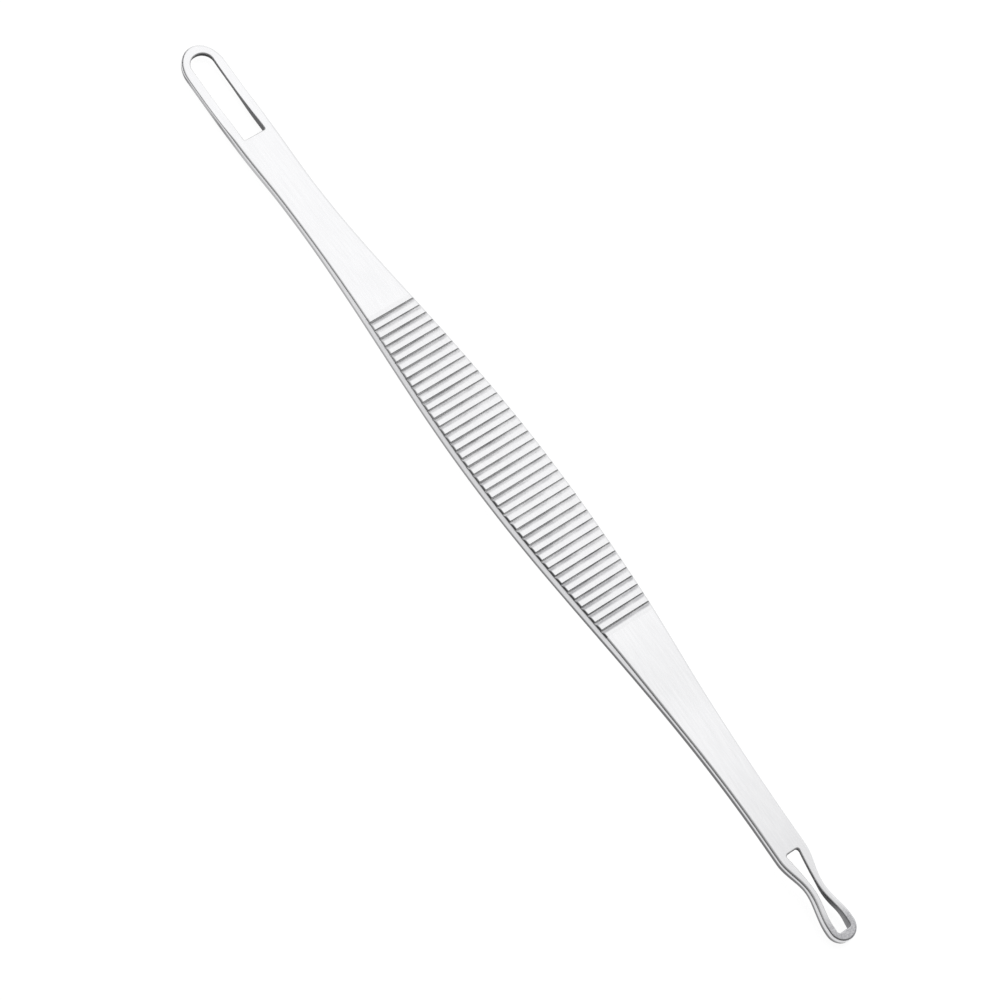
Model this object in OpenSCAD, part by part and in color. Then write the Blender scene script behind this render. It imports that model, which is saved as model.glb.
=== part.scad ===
// Double-ended comedone extractor: one flat bar of stainless steel with a belly-shaped
// grooved grip, a plain neck on each side of it, a long open loop at one end and a small
// waisted loop at the other. The bar is drawn in five zones that meet face to face.
// The bar lies along X with its grooved face up, and stands on its two ends at z = 0.

/* [Bar] */
// Length from tip to tip
length = 88.9; // [84:0.1:100]
// Radius of the softened outer edges
edge_r = 0.18; // [0.1:0.01:0.22]
// Radius of the softened window edges
window_edge_r = 0.1; // [0.05:0.01:0.15]

/* [Grip] */
// Width of the grip at its widest
grip_w = 6.12; // [5:0.1:8]
// Thickness of the grip at its widest
grip_t = 1.3; // [1.2:0.05:1.8]
// Length of the flat under the grip
flat_len = 24; // [16:0.5:30]
// How far the flat lies from mid length, towards the big loop
flat_shift = 2.4; // [0:0.1:4]

/* [Grooves] */
// Number of cross grooves
groove_count = 40; // [20:1:42]
// Distance from one groove to the next
groove_pitch = 0.795; // [0.7:0.005:0.85]
// Width of a groove at the face
groove_w = 0.34; // [0.2:0.01:0.45]
// Width that the steep wall of a groove takes
groove_wall = 0.08; // [0.04:0.01:0.12]
// Depth of a groove
groove_depth = 0.15; // [0.08:0.01:0.25]
// How far the row of grooves lies from mid length, towards the big loop
groove_shift = 0.64; // [0:0.02:1.5]
// Plain face left at each end of the row
groove_margin = 0.4; // [0.2:0.1:1]

/* [Big loop] */
// Width across the big loop
big_loop_w = 3.6; // [3.2:0.02:4.2]
// Length of the rounded tip
big_tip_len = 2.2; // [1.6:0.1:3]
// Width of the steel beside the window
big_rim = 0.78; // [0.5:0.02:0.96]
// Width of the steel at the tip
big_tip_rim = 0.88; // [0.5:0.02:1.1]
// Length of the window
big_window_len = 8.4; // [7:0.1:9.5]
// Radius of the window corners at the tip
big_window_r = 1; // [0.3:0.05:1.05]
// Radius of the window corners at the inner end
big_window_end_r = 0.15; // [0.1:0.05:0.5]
// Length of plain steel that belongs to the loop behind its window
big_web = 1.8; // [1:0.1:3]
// Thickness at the tip
big_tip_t = 0.6; // [0.5:0.05:0.8]
// Length that keeps the thickness of the tip
big_thin_len = 4.5; // [2:0.5:8]
// How far the tip is lifted back up
big_lift = 0.9; // [0:0.05:2]
// Length of the lifted stretch
big_lift_len = 14; // [10:0.5:18]

/* [Big neck] */
// Width of the neck beside the big loop
big_neck_w = 3.3; // [3:0.02:4]
// Thickness of the neck beside the big loop
big_neck_t = 0.8; // [0.7:0.05:1.1]
// Distance from the tip to the end of the neck, where the belly starts
big_neck_end = 15.5; // [14:0.1:18]
// Distance from the tip to where the bar is as thick as the grip
big_full_len = 33; // [26:0.5:38]
// How far this end bends down below the grip
big_drop = 0.3; // [0:0.05:1.5]

/* [Small loop] */
// Width across the bulb of the small loop
small_loop_w = 2.32; // [2:0.02:2.6]
// Distance from the tip to the widest place of the bulb
small_bulb_at = 1.5; // [1.3:0.05:2]
// Length of the rounded tip
small_tip_len = 1.2; // [1:0.05:1.3]
// Width across the waist
small_waist_w = 1.5; // [1.36:0.02:1.7]
// Distance from the tip to the waist
small_waist_at = 4.5; // [4:0.1:5]
// Width of the steel beside the window
small_rim = 0.54; // [0.38:0.02:0.6]
// Width of the steel at the tip
small_tip_rim = 0.8; // [0.6:0.02:1]
// Length of the window
small_window_len = 7; // [6.4:0.1:7.6]
// Width of the window at its inner end
small_window_w = 1.22; // [0.9:0.02:1.5]
// Radius of the window corners
small_window_r = 0.22; // [0.1:0.02:0.35]
// How the window narrows from its inner end to the waist, 1 being straight
small_window_taper = 1.4; // [1.2:0.1:2]
// Thickness at the tip, which swells downwards
small_tip_t = 1.2; // [0.9:0.05:1.4]
// Length that keeps the thickness of the tip
small_thick_len = 3; // [2:0.1:4]
// Length over which it fades into the thickness of the neck
small_fade_len = 2.5; // [1.5:0.1:4]
// Length of plain steel that belongs to the loop behind its window
small_web = 1.9; // [1:0.1:3]

/* [Small neck] */
// Width of the neck beside the small loop
small_neck_w = 2.72; // [2.4:0.02:3.2]
// Thickness of the neck and of the loop behind its waist
small_neck_t = 0.85; // [0.7:0.05:1.1]
// Distance from the tip to where the bar starts to thicken towards the grip
small_thin_len = 20; // [14:0.5:26]
// Distance from the tip to where the bar is as thick as the grip
small_full_len = 31; // [28:0.5:38]
// Distance from the tip to the end of the neck, where the belly starts
small_neck_end = 9.9; // [9.9:0.1:14]
// How far this end bends down below the grip
small_drop = 2.75; // [0:0.05:4]

/* [Hidden] */

// Where the zones meet, along X from mid length
big_tip_x = -length / 2;
small_tip_x = length / 2;
big_window_end = big_tip_rim + big_window_len;
small_window_end = small_tip_rim + small_window_len;
big_split_x = big_tip_x + big_window_end + big_web;
small_split_x = small_tip_x - small_window_end - small_web;
row_len = (groove_count - 1) * groove_pitch + groove_w;
row_start_x = -groove_shift - row_len / 2;
grip_start_x = row_start_x - groove_margin;
grip_end_x = row_start_x + row_len + groove_margin;

// The flat under the grip
flat_start_x = -flat_shift - flat_len / 2;
flat_end_x = -flat_shift + flat_len / 2;

// Steps of the drawn surfaces: rounded edge, window corner, window side, lengthwise
edge_n = 3;
corner_n = 6;
side_n = 16;
neck_n = 12;
grip_n = 24;
across_n = 4;
// Places tried under the big half for where the bar touches the ground
rest_n = 200;
// How far a cutter reaches past the steel
over = 1;
// Most that the round window tip may take of the window's half width
round_share = 0.96;

// Smooth step from 0 to 1
function ease(u) = (1 - cos(180 * min(max(u, 0), 1))) / 2;

// The belly: 0 at the necks, 1 at mid length
function belly(x) = x < 0
    ? ease((x - big_tip_x - big_neck_end) / (length / 2 - big_neck_end))
    : ease((small_tip_x - small_neck_end - x) / (length / 2 - small_neck_end));

// Underside, thickness and grooved face as heights over the middle of the grip's face
function bend(u) = pow(max(u, 0), 2);
function swell(x) = (small_tip_t - small_neck_t)
    * ease((small_thick_len + small_fade_len + x - small_tip_x) / small_fade_len);
function under(x) = -grip_t - swell(x)
    - big_drop * bend((flat_start_x - x) / (flat_start_x - big_tip_x))
    + big_lift * bend((big_tip_x + big_lift_len - x) / big_lift_len)
    - small_drop * bend((x - flat_end_x) / (small_tip_x - flat_end_x));
function big_thick(d) = big_tip_t
    + (big_neck_t - big_tip_t) * ease((d - big_thin_len) / (big_window_end - big_thin_len))
    + (grip_t - big_neck_t) * ease((d - big_neck_end) / (big_full_len - big_neck_end));
function small_thick(d) = small_neck_t
    + (grip_t - small_neck_t) * ease((d - small_thin_len) / (small_full_len - small_thin_len));
function thickness(x) = x < 0
    ? big_thick(x - big_tip_x)
    : small_thick(small_tip_x - x) + swell(x);

// Half width of the big end and the small end without their rounded tips,
// by the distance from the tip, then of the whole bar between the loops
function big_half(d) = let (
        loop = big_loop_w / 2, neck = big_neck_w / 2,
        u = (big_neck_end - d) / (big_neck_end - big_window_end))
    neck + (loop - neck) * ease(u) + (grip_w / 2 - neck) * belly(big_tip_x + d);
function small_half(d) = let (
        bulb = small_loop_w / 2, waist = small_waist_w / 2, neck = small_neck_w / 2,
        in = (d - small_waist_at) / (small_window_end - small_waist_at),
        out = (small_waist_at - d) / (small_waist_at - small_bulb_at))
    d < small_waist_at
        ? waist + (bulb - waist) * ease(out)
        : waist + (neck - waist) * ease(in) + (grip_w / 2 - neck) * belly(small_tip_x - d);
function bar_half(x) = x < 0 ? big_half(x - big_tip_x) : small_half(small_tip_x - x);

// Half width of the windows by the distance from the tip
function big_open(d) = big_loop_w / 2 - big_rim;
small_waist_open = small_waist_w / 2 - small_rim;
small_bulb_open = small_loop_w / 2 - small_rim;
function small_open(d) = let (
        in = (d - small_waist_at) / (small_window_end - small_waist_at),
        out = (small_waist_at - d) / (small_waist_at - small_bulb_at))
    d < small_waist_at
        ? small_waist_open + (small_bulb_open - small_waist_open) * ease(out)
        : small_waist_open + (small_window_w / 2 - small_waist_open) * pow(in, small_window_taper);

// Levels of a softened wall from the underside to the face:
// how far in the edge lies, the share of the thickness, and the height from that face
function levels(r) = concat(
    [for (j = [0:edge_n]) let (a = 90 * j / edge_n) [r * (1 - sin(a)), 0, r * (1 - cos(a))]],
    [for (j = [0:edge_n]) let (a = 90 - 90 * j / edge_n) [r * (1 - sin(a)), 1, -r * (1 - cos(a))]]);
function level_z(x, level) = under(x) + thickness(x) * level[1] + level[2];
outer_levels = levels(edge_r);
window_levels = levels(window_edge_r);
top_level = len(outer_levels) - 1;

// One side of a window, from its inner end to the tip, as [distance from tip, y]
function window_side(d0, d1, r0, r1, half) = concat(
    [for (j = [0:corner_n]) let (a = 90 * j / corner_n, d = d1 - r1 * (1 - cos(a)))
        [d, half(d) - r1 * (1 - sin(a))]],
    [for (j = [1:side_n - 1]) let (d = d1 - r1 + (d0 + r0 - d1 + r1) * j / side_n)
        [d, half(d)]],
    [for (j = [0:corner_n]) let (a = 90 - 90 * j / corner_n, d = d0 + r0 * (1 - cos(a)))
        [d, half(d) - r0 * (1 - sin(a))]]);

// The outline beside it, with as many points, from the zone's end to the tip
function outline_side(d0, d1, r0, r1, split, tip_len, half) = let (
        run_start = d1 - r1,
        run_end = d0 + r0,
        last = acos(max(1 - run_end / tip_len, 0)),
        round = function(d) d < tip_len ? sqrt(1 - pow(1 - d / tip_len, 2)) : 1)
    concat(
        [for (j = [0:corner_n]) let (d = split + (run_start - split) * j / corner_n)
            [d, half(d) * round(d)]],
        [for (j = [1:side_n - 1]) let (d = run_start + (run_end - run_start) * j / side_n)
            [d, half(d) * round(d)]],
        [for (j = [0:corner_n]) let (
                a = last * (1 - j / (corner_n + 1)),
                d = tip_len * (1 - cos(a)))
            [d, half(d) * sin(a)]]);

// A whole contour: one side, the tip, the other side, and the line across the inner end
function contour(side, tip) = let (n = len(side) - 1, end = side[0])
    concat(side, [[tip, 0]],
        [for (i = [0:n]) [side[n - i][0], -side[n - i][1]]],
        [for (k = [1:across_n - 1]) [end[0], end[1] * (2 * k / across_n - 1)]]);

// A contour moved inwards by e along its own normals
function inset(points, e) = let (n = len(points))
    [for (i = [0:n - 1]) let (
            step = points[(i + 1) % n] - points[(i + n - 1) % n],
            normal = [-step[1], step[0]] / norm(step))
        points[i] + e * normal];

// The outline moved inwards: its straight end stays on the plane where the zones meet
function inset_outline(points, e) = let (
        n = len(points),
        moved = inset(points, e),
        split = points[0][0],
        shrink = (points[0][1] - e) / points[0][1])
    [for (i = [0:n - 1]) points[i][0] == split ? [split, points[i][1] * shrink] : moved[i]];

// A quad as two triangles
function quad(a, b, c, d) = [[a, b, c], [a, c, d]];

// A loop: an outline and a window, both with softened edges. at = 1 draws it at the big
// tip, at = -1 at the small tip.
module loop(outline, window, at) {
    n = len(outline);
    m = top_level;
    tip_x = at > 0 ? big_tip_x : small_tip_x;
    outer = [for (v = outer_levels) for (p = inset_outline(outline, v[0]))
        let (x = tip_x + at * p[0]) [x, p[1], level_z(x, v)]];
    inner = [for (v = window_levels) for (p = inset(window, -v[0]))
        let (x = tip_x + at * p[0]) [x, p[1], level_z(x, v)]];
    hole = (m + 1) * n;
    walls = [for (k = [0:m - 1]) for (i = [0:n - 1]) let (
            j = (i + 1) % n, low = k * n, high = (k + 1) * n)
        each concat(
            quad(low + i, high + i, high + j, low + j),
            quad(hole + low + j, hole + high + j, hole + high + i, hole + low + i))];
    faces = [for (i = [0:n - 1]) let (j = (i + 1) % n, high = m * n)
        each concat(
            quad(high + i, hole + high + i, hole + high + j, high + j),
            quad(j, hole + j, hole + i, i))];
    all = concat(walls, faces);
    polyhedron(concat(outer, inner),
        at > 0 ? all : [for (f = all) [f[0], f[2], f[1]]]);
}

// A stretch of the bar between two places along X, with softened long edges
module stretch(x0, x1, steps) {
    m = top_level;
    ring = 2 * (m + 1);
    points = [for (s = [0:steps]) let (x = x0 + (x1 - x0) * s / steps, w = bar_half(x))
        each concat(
            [for (v = outer_levels) [x, w - v[0], level_z(x, v)]],
            [for (k = [m:-1:0]) let (v = outer_levels[k]) [x, v[0] - w, level_z(x, v)]])];
    sides = [for (s = [0:steps - 1]) for (i = [0:ring - 1]) let (
            j = (i + 1) % ring, a = s * ring, b = (s + 1) * ring)
        each quad(a + i, b + i, b + j, a + j)];
    last = steps * ring;
    ends = [for (k = [0:m - 1]) let (p = ring - 1 - k)
        each concat(
            quad(k, k + 1, p - 1, p),
            quad(last + p, last + p - 1, last + k + 1, last + k))];
    polyhedron(points, concat(sides, ends));
}

// One groove across the face: a steep wall towards the big loop and a floor that
// climbs back to the face
module groove() {
    rotate([90, 0, 0]) linear_extrude(grip_w + 2 * over, center = true)
        polygon([[0, over], [0, 0], [groove_wall, -groove_depth],
                 [groove_w, 0], [groove_w, over]]);
}

// How the bar stands: turned about Y until the small tip and the big end's underside
// touch the ground, then moved over the origin
small_foot_x = small_tip_x - edge_r;
function foot_turn(x) = atan2(under(x) - under(small_foot_x), small_foot_x - x);
rest_turn = min([for (s = [0:rest_n]) foot_turn((big_tip_x + edge_r) * s / rest_n)]);
lowest = under(small_foot_x) * cos(rest_turn) + small_foot_x * sin(rest_turn);
big_reach = big_tip_x * cos(rest_turn)
    - (under(big_tip_x) + thickness(big_tip_x) - edge_r) * sin(rest_turn);
small_reach = small_tip_x * cos(rest_turn) - (under(small_tip_x) + edge_r) * sin(rest_turn);
module stood() {
    translate([-(big_reach + small_reach) / 2, 0, -lowest])
        rotate([0, -rest_turn, 0]) children();
}

// Long open loop with a round tip and a square inner end
module big_loop() {
    split = big_window_end + big_web;
    half = function(d) big_half(d);
    open = function(d) big_open(d);
    tip_r = min(big_window_r, round_share * open(0));
    window = window_side(big_tip_rim, big_window_end, tip_r, big_window_end_r, open);
    outline = outline_side(big_tip_rim, big_window_end, tip_r, big_window_end_r,
        split, big_tip_len, half);
    color([0.82, 0.83, 0.85]) stood()
        loop(contour(outline, 0), contour(window, big_tip_rim), 1);
}

// Plain flat between the big loop and the grip
module big_neck() {
    color([0.84, 0.85, 0.87]) stood() stretch(big_split_x, grip_start_x, neck_n);
}

// Belly-shaped grip with a row of grooves across its face and a flat underside
module ribbed_grip() {
    color([0.76, 0.77, 0.79]) stood() difference() {
        stretch(grip_start_x, grip_end_x, grip_n);
        for (i = [0:groove_count - 1]) {
            x = row_start_x + i * groove_pitch;
            translate([x, 0, under(x) + thickness(x)]) groove();
        }
    }
}

// Plain flat between the grip and the small loop
module small_neck() {
    color([0.84, 0.85, 0.87]) stood() stretch(grip_end_x, small_split_x, neck_n);
}

// Small loop with a waist, shaped like a slim hourglass
module small_loop() {
    split = small_window_end + small_web;
    half = function(d) small_half(d);
    open = function(d) small_open(d);
    window = window_side(small_tip_rim, small_window_end, small_window_r, small_window_r, open);
    outline = outline_side(small_tip_rim, small_window_end, small_window_r, small_window_r,
        split, small_tip_len, half);
    color([0.82, 0.83, 0.85]) stood()
        loop(contour(outline, 0), contour(window, small_tip_rim), -1);
}

big_loop();
big_neck();
ribbed_grip();
small_neck();
small_loop();
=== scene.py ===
# %% [markdown]
# # A double-ended comedone extractor
#
# The tool is one flat bar of stainless steel, about as long as a finger. It is blanked
# from sheet, milled with a row of grooves across the middle so that it doesn't slip, and
# pierced at both ends to leave two loops that press on the skin. Then it is bent a little,
# ground and polished. This lesson dresses the CAD frame of that bar in five zones, which
# meet face to face like the solids in the frame.

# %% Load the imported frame
import math

import bpy
import numpy as np
from mathutils import Matrix, Vector


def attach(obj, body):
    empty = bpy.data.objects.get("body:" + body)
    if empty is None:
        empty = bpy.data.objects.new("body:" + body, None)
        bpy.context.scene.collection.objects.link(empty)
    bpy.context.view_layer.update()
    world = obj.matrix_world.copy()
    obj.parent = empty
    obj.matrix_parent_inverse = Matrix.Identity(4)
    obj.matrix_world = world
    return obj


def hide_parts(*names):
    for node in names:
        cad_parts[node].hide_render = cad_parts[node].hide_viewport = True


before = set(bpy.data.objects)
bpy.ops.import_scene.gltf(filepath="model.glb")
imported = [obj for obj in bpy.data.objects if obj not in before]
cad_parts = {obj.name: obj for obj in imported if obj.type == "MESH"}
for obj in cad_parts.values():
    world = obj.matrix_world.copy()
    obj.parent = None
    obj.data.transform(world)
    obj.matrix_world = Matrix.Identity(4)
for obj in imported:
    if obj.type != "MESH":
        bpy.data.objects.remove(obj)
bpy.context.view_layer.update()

print("zones of the bar:", ", ".join(sorted(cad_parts)))

# %% [markdown]
# ## The shape rule
#
# Everything on this bar follows from a few curves along its length: how wide it is, how
# thick it is and how far it bends away from the grooved face. A bar like this could be
# sculpted by hand, but then its width, its windows and its grooves would drift apart.
# Here the curves are written once, in millimetres, with x = 0 at mid length and z = 0 at
# the middle of the grip's face. Each zone below reads them.

# %% Sizes of the bar in millimetres
LENGTH = 88.9
BIG_TIP, SMALL_TIP = -LENGTH / 2, LENGTH / 2
GRIP_WIDTH, GRIP_THICK = 6.12, 1.3
EDGE_R = 0.18                   # the frame's edge radius, which decides how the bar stands
SOFT_R, LOW_R = 0.23, 0.09      # radius of the edges at the face, and at the underside
WINDOW_EDGE_R = 0.1
FLAT_START, FLAT_END = -14.4, 9.6

# A place along an end is its distance from that end's tip. rim and tip_rim are the steel
# left beside and before the window, and web is what stands behind it. tip_r and end_r are
# the window's corners. Over thin to full the bar grows to the thickness of the grip. The
# window's walls get painted shade: burnt says from where to where it is darkest, and
# over what length that fades, and shade_everywhere how much of it is left elsewhere.
# dull is how far from the tip the small tip's grain and painted shade reach.
BIG = dict(width=3.6, neck=3.3, neck_end=15.5, tip=2.2, rim=0.78, tip_rim=0.88,
           window=8.4, tip_r=1.0, end_r=0.15, web=1.8, tip_thick=0.6, thin=4.5,
           neck_thick=0.8, full=33.0, flare=0.08, flare_from=8.0, flare_to=4.0, tuck=0.0,
           burnt=(0.0, 0.9, 1.6), shade_everywhere=0.5, dull=0.0)
SMALL = dict(width=2.32, bulb_at=1.5, waist=1.5, waist_at=4.5, neck=2.72, neck_end=9.9,
             tip=1.2, rim=0.54, tip_rim=0.8, window=7.0, window_width=1.22, taper=1.4,
             tip_r=0.22, end_r=0.22, web=1.9, tip_thick=1.2, thick_len=3.0, fade=2.5,
             neck_thick=0.85, thin=20.0, full=31.0, flare=0.17, flare_from=0.6, flare_to=2.6,
             tuck=0.16, burnt=(3.6, 8.0, 1.2), shade_everywhere=0.0, dull=3.0)
BIG_DROP, SMALL_DROP = 0.3, 2.75        # how far each end bends away from the face
BIG_LIFT, BIG_LIFT_LEN = 0.9, 14.0      # and the big loop turns back up
ROUNDEST_CORNER = 0.96                  # of half the window, which leaves a short flat
for end in (BIG, SMALL):
    end["window_end"] = end["tip_rim"] + end["window"]
    end["split"] = end["window_end"] + end["web"]
    end["tip_r"] = min(end["tip_r"], ROUNDEST_CORNER * (end["width"] / 2 - end["rim"]))

GROOVES = dict(Count=40, First=-16.3125, Pitch=0.795, Width=0.46, Wall=0.07, Depth=0.145,
               Hollow=1.7, Softness=0.05, Uneven=0.26, Lean=0.22, Seed=5)
PLAIN_GROOVE, MARGIN = 0.34, 0.4        # width of a groove in the frame, and steel beyond
FIRST_GROOVE = GROOVES["First"]
ROW_LENGTH = (GROOVES["Count"] - 1) * GROOVES["Pitch"] + PLAIN_GROOVE
SPLITS = (BIG_TIP + BIG["split"], FIRST_GROOVE - MARGIN,
          FIRST_GROOVE + ROW_LENGTH + MARGIN, SMALL_TIP - SMALL["split"])
print("zones meet at x =", [round(x, 3) for x in SPLITS], "mm")


# %% Curves along the bar
def ease(u):
    """Smooth step from 0 to 1."""
    return (1 - np.cos(np.pi * np.clip(u, 0, 1))) / 2


def belly(x):
    """0 at the necks, 1 at mid length."""
    return np.where(
        x < 0,
        ease((x - BIG_TIP - BIG["neck_end"]) / (LENGTH / 2 - BIG["neck_end"])),
        ease((SMALL_TIP - SMALL["neck_end"] - x) / (LENGTH / 2 - SMALL["neck_end"])))


def bend(u):
    """Nothing up to the start of a bend, then ever steeper."""
    return np.maximum(u, 0) ** 2


def swell(x):
    """What the small tip gains in thickness, downwards."""
    start = SMALL["thick_len"] + SMALL["fade"]
    return ((SMALL["tip_thick"] - SMALL["neck_thick"])
            * ease((start + x - SMALL_TIP) / SMALL["fade"]))


def under(x):
    """Height of the underside."""
    return (-GRIP_THICK - swell(x)
            - BIG_DROP * bend((FLAT_START - x) / (FLAT_START - BIG_TIP))
            + BIG_LIFT * bend((BIG_TIP + BIG_LIFT_LEN - x) / BIG_LIFT_LEN)
            - SMALL_DROP * bend((x - FLAT_END) / (SMALL_TIP - FLAT_END)))


def thickness(x):
    """The big loop is thin, the necks a little less so, and the grip and small tip stout."""
    d = x - BIG_TIP
    big = (BIG["tip_thick"] + (BIG["neck_thick"] - BIG["tip_thick"])
           * ease((d - BIG["thin"]) / (BIG["window_end"] - BIG["thin"]))
           + (GRIP_THICK - BIG["neck_thick"])
           * ease((d - BIG["neck_end"]) / (BIG["full"] - BIG["neck_end"])))
    small = SMALL["neck_thick"] + (GRIP_THICK - SMALL["neck_thick"]) * ease(
        (SMALL_TIP - x - SMALL["thin"]) / (SMALL["full"] - SMALL["thin"]))
    return np.where(x < 0, big, small + swell(x))


def big_half(d):
    """Half width of the big end, by the distance from its tip."""
    loop, neck = BIG["width"] / 2, BIG["neck"] / 2
    u = (BIG["neck_end"] - d) / (BIG["neck_end"] - BIG["window_end"])
    return neck + (loop - neck) * ease(u) + (GRIP_WIDTH / 2 - neck) * belly(BIG_TIP + d)


def small_half(d):
    """Half width of the small end: a bulb, a waist and the neck."""
    bulb, waist, neck = SMALL["width"] / 2, SMALL["waist"] / 2, SMALL["neck"] / 2
    inner = (d - SMALL["waist_at"]) / (SMALL["window_end"] - SMALL["waist_at"])
    outer = (SMALL["waist_at"] - d) / (SMALL["waist_at"] - SMALL["bulb_at"])
    return np.where(
        d < SMALL["waist_at"],
        waist + (bulb - waist) * ease(outer),
        waist + (neck - waist) * ease(inner)
        + (GRIP_WIDTH / 2 - neck) * belly(SMALL_TIP - d))


def bar_half(x):
    return np.where(x < 0, big_half(x - BIG_TIP), small_half(SMALL_TIP - x))


def big_open(d):
    """Half width of the big window."""
    return np.full_like(d, BIG["width"] / 2 - BIG["rim"])


def small_open(d):
    """Half width of the small window, which follows the waist."""
    waist = SMALL["waist"] / 2 - SMALL["rim"]
    bulb = SMALL["width"] / 2 - SMALL["rim"]
    inner = np.clip((d - SMALL["waist_at"]) / (SMALL["window_end"] - SMALL["waist_at"]), 0, 2)
    outer = (SMALL["waist_at"] - d) / (SMALL["waist_at"] - SMALL["bulb_at"])
    return np.where(
        d < SMALL["waist_at"],
        waist + (bulb - waist) * ease(outer),
        waist + (SMALL["window_width"] / 2 - waist) * inner ** SMALL["taper"])


print("widest at the grip:", round(float(bar_half(np.array(-0.1)) * 2), 2), "mm")

# %% [markdown]
# ## How the bar stands
#
# On a table the bent bar rests on its small tip and on the underside of its big end, with
# the grip held clear. The frame stores it that way, so a finished mesh is turned by the
# same angle and moved over the origin, and its millimetres become metres. Doing this to
# the mesh, and not to the object, keeps every object at the origin, unturned.


# %% Stand a finished mesh on the ground
def stood_matrix():
    """Turns the bar onto its two feet, centres it, and makes millimetres metres."""
    foot = SMALL_TIP - EDGE_R
    x = np.linspace(0, BIG_TIP + EDGE_R, 201)
    turn = float(np.arctan2(under(x) - under(foot), foot - x).min())
    lowest = under(foot) * math.cos(turn) + foot * math.sin(turn)
    big_reach = (BIG_TIP * math.cos(turn)
                 - (under(BIG_TIP) + thickness(BIG_TIP) - EDGE_R) * math.sin(turn))
    small_reach = (SMALL_TIP * math.cos(turn)
                   - (under(SMALL_TIP) + EDGE_R) * math.sin(turn))
    move = Matrix.Translation((-(big_reach + small_reach) / 2, 0, -lowest))
    print("the bar stands turned by", round(math.degrees(turn), 3), "degrees")
    return Matrix.Scale(0.001, 4) @ move @ Matrix.Rotation(-turn, 4, "Y")


STOOD = stood_matrix()

# %% [markdown]
# ## Softened edges
#
# A skin tool has no sharp edge: after grinding, the bar is buffed until each edge is a
# small round. The rounds are what draws the tool in a photograph, because each one mirrors
# a dark strip of the room. A Bevel modifier could cut them, but it would pinch at the
# loops, where the walls curve. So each wall is a stack of levels, and every level is the
# outline moved inwards a little: in along a quarter circle at the underside, up the plain
# wall, and back along a quarter circle at the face. The wheel reaches the face's edges
# best, so they are rounder than the lower ones. The sides of the thin big loop and the
# small tip are crisper than the rest. Along the lower edge a band of painted shade stands
# for the dark gap under the tool, which the lower round mirrors.


# %% Levels of a softened wall
GUARD = 0.03        # a tight extra level keeps the wide faces flat in the shading


def wall_levels(low_r, high_r, steps, plain):
    """From underside to face: inset, share of the thickness, lift, and two marks.

    The first mark is 0 on the faces and 1 on the plain wall. The second tells the lower edge
    and the plain wall, which may carry painted shade, from the rest.
    """
    rows = [(low_r + GUARD, 0, 0, 0, 0)]
    for j in range(steps + 1):
        a = math.pi / 2 * j / steps
        out, up = math.sin(a), 1 - math.cos(a)
        rows.append((low_r * (1 - out), 0, low_r * up, out, 1))
    for j in range(1, plain):
        share = j / plain
        rows.append((0, share, low_r * (1 - share) - high_r * share, 1, 1))
    for j in range(steps + 1):
        a = math.pi / 2 * (1 - j / steps)
        out, down = math.sin(a), 1 - math.cos(a)
        rows.append((high_r * (1 - out), 1, -high_r * down, out, 0))
    rows.append((high_r + GUARD, 1, 0, 0, 0))
    return rows


OUTER = wall_levels(LOW_R, SOFT_R, 8, 8)
INNER = wall_levels(WINDOW_EDGE_R, WINDOW_EDGE_R, 5, 4)

# where edges are crisper, by the distance from the big tip: the share of the radius that
# is gone, and where a change starts and how long it takes
CRISP_SIDES, SIDES_FROM, SIDES_TO = 0.5, (1.2, 1.6), (9.5, 2.5)
CRISP_TIP, TIP_REACH, TIP_FADE = 0.35, 4, 3
# how high the painted shade along the lower edge reaches, over what height it fades, and how
# strong it is, by the same distance
SHADE_TOP_AT, SHADE_TOP, SHADE_FADE = (16, 22, 55, 68), (0.56, 0.5, 0.5, 0.62), 0.12
SHADE_AT = (0, 2, 3, 5.5, 7, 8.5, 10.5, 20, 50, 60)
SHADE_SHARE = (1, 1, 0.5, 0.5, 0.85, 0.7, 0.35, 0.55, 0.9, 1)


def softened(x):
    """Share of the edges' radius. The big loop's sides and the small tip are crisper."""
    d = x - BIG_TIP
    sides = (ease((SIDES_TO[0] - d) / SIDES_TO[1])
             * ease((d - SIDES_FROM[0]) / SIDES_FROM[1]))
    tip = ease((d - LENGTH + TIP_REACH) / TIP_FADE)
    return 1 - CRISP_SIDES * sides - CRISP_TIP * tip


def height(x, level):
    """Height of a level of the wall."""
    return under(x) + thickness(x) * level[1] + level[2] * softened(x)


def lower_edge_shade(x, above):
    """Painted shade along the lower edge, by the height above the underside."""
    top = np.interp(x - BIG_TIP, SHADE_TOP_AT, SHADE_TOP)
    band = np.clip((top - above) / SHADE_FADE, 0, 1)
    return band * np.interp(x - BIG_TIP, SHADE_AT, SHADE_SHARE)


print(len(OUTER), "levels outside,", len(INNER), "levels in the windows")

# %% [markdown]
# ## From points to a piece
#
# Each zone is a grid of points wrapped round the steel. This helper turns such points and
# faces into a mesh, keeps what each point is as an attribute, and lets Blender smooth the
# shading wherever two faces meet at a gentle angle. The attributes are how a finish later
# knows where it is. On the outside, `side` is 0 on a face and 1 on a plain wall, and `low`
# is the painted shade along the lower edge. `window` is 1 on a window's walls,
# `burnt` says how much painted shade they get, and `dull` marks the small
# tip's grain and painted shade. In the grip, `cut` is 1 on a groove's wall and `floor` is how
# deep its floor lies.


# %% Make a mesh with its marks
GENTLE = math.radians(38)   # two faces that meet at less than this are shaded as one


def steel_mesh(name, points, faces, **marks):
    """A mesh whose points carry their marks as attributes."""
    mesh = bpy.data.meshes.new(name)
    mesh.from_pydata(points.tolist(), [], faces)
    for mark, values in marks.items():
        layer = mesh.attributes.new(mark, "FLOAT", "POINT")
        layer.data.foreach_set("value", np.asarray(values, np.float32))
    mesh.update()
    return mesh


def shade(mesh):
    mesh.shade_smooth()
    mesh.set_sharp_from_angle(angle=GENTLE)


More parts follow.
